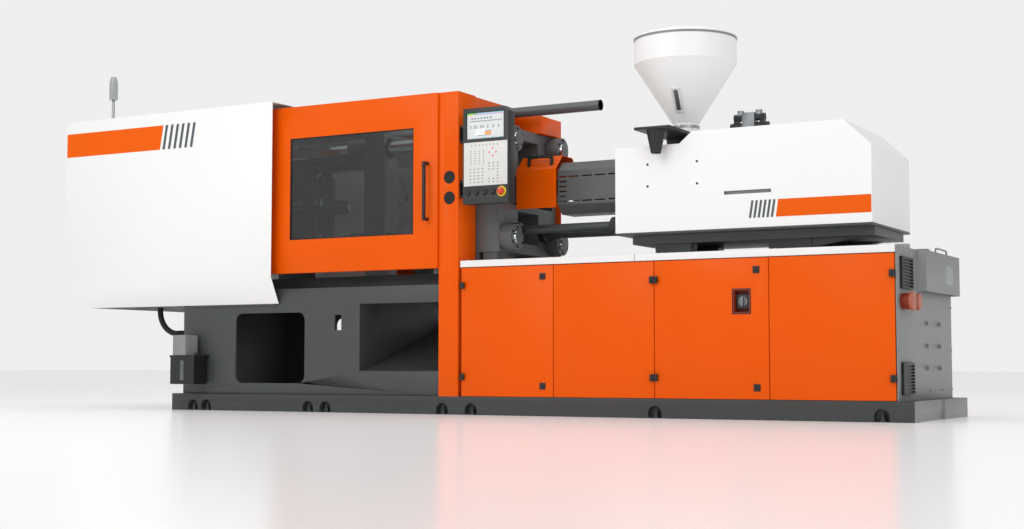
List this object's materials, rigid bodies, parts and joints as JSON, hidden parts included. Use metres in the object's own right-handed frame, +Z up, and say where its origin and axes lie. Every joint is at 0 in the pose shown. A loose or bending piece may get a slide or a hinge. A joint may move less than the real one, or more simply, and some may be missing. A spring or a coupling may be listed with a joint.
{
  "type": "injection moulding machine",
  "caption": "Horizontal toggle-clamp injection moulding machine with sliding gates, hopper, injection unit and control panel.",
  "frame": {"origin": "on the floor under the middle of the machine's length and width", "axes": "+X from the clamp end to the injection end, -Y towards the operator, +Z up"},
  "size_m": [5.252, 1.226, 2.071],
  "materials": {
    "orange_enamel": "gloss powder coat",
    "white_enamel": "gloss powder coat",
    "bed_enamel": "satin enamel",
    "grey_enamel": "satin enamel",
    "barrel_cover_enamel": "satin enamel",
    "platen_casting": "machined and painted casting",
    "chromed_bar": "ground and hard chromed",
    "machine_steel": "machined",
    "black_enamel": "satin enamel",
    "hopper_sheet": "gloss powder coat",
    "window_sheet": "clear polycarbonate sheet",
    "panel_plastic": "moulded",
    "stop_plastic": "moulded",
    "lamp_plastic": "moulded",
    "hose_rubber": "extruded"
  },
  "bodies": {
    "machine_base": {"base_frame": "bed_enamel", "anchor_bolts": "machine_steel", "clamp_bed": "bed_enamel", "cabinet_frame": "bed_enamel", "table_plate": "white_enamel", "rear_panels": "orange_enamel", "door_hinges": "black_enamel", "fixed_platen": "platen_casting", "tie_bars": "chromed_bar", "clamp_cover": "white_enamel", "fixed_guard": "orange_enamel", "platen_guard": "orange_enamel", "overhead_tube": "black_enamel", "beacon": "lamp_plastic", "traverse_rods": "chromed_bar", "end_panel": "grey_enamel", "power_sockets": "stop_plastic", "lubrication_unit": "black_enamel", "line_hose": "hose_rubber", "power_pack": "bed_enamel"},
    "door_one": {"door_one": "orange_enamel"},
    "door_two": {"door_two": "orange_enamel"},
    "door_three": {"door_three": "orange_enamel", "isolator_box": "grey_enamel"},
    "door_four": {"door_four": "orange_enamel"},
    "isolator_handle": {"isolator_handle": "panel_plastic"},
    "front_gate": {"front_gate": "orange_enamel", "front_gate_window": "window_sheet"},
    "rear_gate": {"rear_gate": "orange_enamel", "rear_gate_window": "window_sheet"},
    "end_platen": {"end_platen": "platen_casting", "clamp_cylinder": "grey_enamel"},
    "moving_platen": {"moving_platen": "platen_casting"},
    "ejector_rod": {"ejector_rod": "chromed_bar"},
    "rear_link_upper": {"rear_link_upper": "machine_steel"},
    "rear_link_lower": {"rear_link_lower": "machine_steel"},
    "front_link_upper": {"front_link_upper": "machine_steel"},
    "front_link_lower": {"front_link_lower": "machine_steel"},
    "crosshead": {"crosshead": "platen_casting"},
    "crosshead_link_upper": {"crosshead_link_upper": "machine_steel"},
    "crosshead_link_lower": {"crosshead_link_lower": "machine_steel"},
    "control_panel": {"panel_housing": "panel_plastic"},
    "push_button_1": {"push_button_1": "panel_plastic"},
    "push_button_2": {"push_button_2": "panel_plastic"},
    "push_button_3": {"push_button_3": "panel_plastic"},
    "push_button_4": {"push_button_4": "panel_plastic"},
    "stop_button": {"stop_button": "stop_plastic"},
    "purge_guard": {"purge_guard": "orange_enamel"},
    "carriage": {"carriage": "bed_enamel", "feed_block": "machine_steel", "barrel": "machine_steel", "barrel_cover": "barrel_cover_enamel", "injection_cover": "white_enamel", "traverse_cylinders": "grey_enamel", "slide_base": "barrel_cover_enamel", "valve_stack": "machine_steel"},
    "thrust_block": {"thrust_block": "grey_enamel"},
    "screw": {"screw": "chromed_bar"},
    "hopper": {"hopper": "hopper_sheet", "hopper_lid": "hopper_sheet"}
  },
  "joints": [
    {"name": "door_one_swing", "type": "hinge", "parent": "machine_base", "child": "door_one", "pos_m": [0.226, -0.5293, 0.44], "axis": [0, 0, 1], "range_deg": [-90, 0]},
    {"name": "door_two_swing", "type": "hinge", "parent": "machine_base", "child": "door_two", "pos_m": [1.321, -0.5293, 0.44], "axis": [0, 0, 1], "range_deg": [0, 90]},
    {"name": "door_three_swing", "type": "hinge", "parent": "machine_base", "child": "door_three", "pos_m": [1.347, -0.5293, 0.44], "axis": [0, 0, 1], "range_deg": [-90, 0]},
    {"name": "door_four_swing", "type": "hinge", "parent": "machine_base", "child": "door_four", "pos_m": [2.528, -0.5293, 0.44], "axis": [0, 0, 1], "range_deg": [0, 90]},
    {"name": "isolator_turn", "type": "hinge", "parent": "door_three", "child": "isolator_handle", "pos_m": [1.795, -0.5, 0.572], "axis": [0, 1, 0], "range_deg": [0, 90]},
    {"name": "front_gate_slide", "type": "slide", "parent": "machine_base", "child": "front_gate", "axis": [-1, 0, 0], "range_m": [0, 0.9]},
    {"name": "rear_gate_slide", "type": "slide", "parent": "machine_base", "child": "rear_gate", "axis": [-1, 0, 0], "range_m": [0, 0.9]},
    {"name": "mould_height_slide", "type": "slide", "parent": "machine_base", "child": "end_platen", "axis": [1, 0, 0], "range_m": [0, 0.36]},
    {"name": "platen_slide", "type": "slide", "parent": "end_platen", "child": "moving_platen", "axis": [1, 0, 0], "range_m": [-0.43, 0]},
    {"name": "rear_link_upper_turn", "type": "hinge", "parent": "end_platen", "child": "rear_link_upper", "pos_m": [-1.16, 0, 1.525], "axis": [0, 1, 0], "range_deg": [0, 94.4]},
    {"name": "front_link_upper_turn", "type": "hinge", "parent": "rear_link_upper", "child": "front_link_upper", "pos_m": [-0.96, 0, 1.525], "axis": [0, 1, 0], "range_deg": [-188.8, 0]},
    {"name": "rear_link_lower_turn", "type": "hinge", "parent": "end_platen", "child": "rear_link_lower", "pos_m": [-1.16, 0, 0.935], "axis": [0, 1, 0], "range_deg": [-94.4, 0]},
    {"name": "front_link_lower_turn", "type": "hinge", "parent": "rear_link_lower", "child": "front_link_lower", "pos_m": [-0.96, 0, 0.935], "axis": [0, 1, 0], "range_deg": [0, 188.8]},
    {"name": "crosshead_slide", "type": "slide", "parent": "end_platen", "child": "crosshead", "axis": [1, 0, 0], "range_m": [-0.2552, 0]},
    {"name": "crosshead_link_upper_turn", "type": "hinge", "parent": "crosshead", "child": "crosshead_link_upper", "pos_m": [-1.063, 0, 1.38], "axis": [0, 1, 0], "range_deg": [0, 63]},
    {"name": "crosshead_link_lower_turn", "type": "hinge", "parent": "crosshead", "child": "crosshead_link_lower", "pos_m": [-1.063, 0, 1.08], "axis": [0, 1, 0], "range_deg": [-63, 0]},
    {"name": "ejector_slide", "type": "slide", "parent": "moving_platen", "child": "ejector_rod", "axis": [1, 0, 0], "range_m": [0, 0.1]},
    {"name": "panel_swivel", "type": "hinge", "parent": "machine_base", "child": "control_panel", "pos_m": [0.216, -0.494, 1.374], "axis": [0, 0, 1], "range_deg": [-90, 15]},
    {"name": "push_button_1_press", "type": "slide", "parent": "control_panel", "child": "push_button_1", "axis": [0, 1, 0], "range_m": [0, 0.004], "stiffness_N_per_m": 400},
    {"name": "push_button_2_press", "type": "slide", "parent": "control_panel", "child": "push_button_2", "axis": [0, 1, 0], "range_m": [0, 0.004], "stiffness_N_per_m": 400},
    {"name": "push_button_3_press", "type": "slide", "parent": "control_panel", "child": "push_button_3", "axis": [0, 1, 0], "range_m": [0, 0.004], "stiffness_N_per_m": 400},
    {"name": "push_button_4_press", "type": "slide", "parent": "control_panel", "child": "push_button_4", "axis": [0, 1, 0], "range_m": [0, 0.004], "stiffness_N_per_m": 400},
    {"name": "stop_button_press", "type": "slide", "parent": "control_panel", "child": "stop_button", "axis": [0, 1, 0], "range_m": [0, 0.006]},
    {"name": "purge_guard_lift", "type": "hinge", "parent": "machine_base", "child": "purge_guard", "pos_m": [0.46, 0.145, 1.34], "axis": [1, 0, 0], "range_deg": [-60, 0]},
    {"name": "carriage_slide", "type": "slide", "parent": "machine_base", "child": "carriage", "axis": [1, 0, 0], "range_m": [0, 0.25]},
    {"name": "injection_slide", "type": "slide", "parent": "carriage", "child": "thrust_block", "axis": [1, 0, 0], "range_m": [0, 0.2]},
    {"name": "screw_spin", "type": "hinge", "parent": "thrust_block", "child": "screw", "pos_m": [1.5, 0, 1.23], "axis": [1, 0, 0], "continuous": true},
    {"name": "hopper_slide", "type": "slide", "parent": "carriage", "child": "hopper", "axis": [0, -1, 0], "range_m": [0, 0.39]}
  ],
  "couplings": [
    {"joint": "rear_link_upper_turn", "follows": "platen_slide", "rad_per_m": -3.8274},
    {"joint": "rear_link_lower_turn", "follows": "platen_slide", "rad_per_m": 3.8274},
    {"joint": "front_link_upper_turn", "follows": "platen_slide", "rad_per_m": 7.6548},
    {"joint": "front_link_lower_turn", "follows": "platen_slide", "rad_per_m": -7.6548},
    {"joint": "crosshead_slide", "follows": "platen_slide", "ratio": 0.59302},
    {"joint": "crosshead_link_upper_turn", "follows": "platen_slide", "rad_per_m": -2.553},
    {"joint": "crosshead_link_lower_turn", "follows": "platen_slide", "rad_per_m": 2.553}
  ]
}
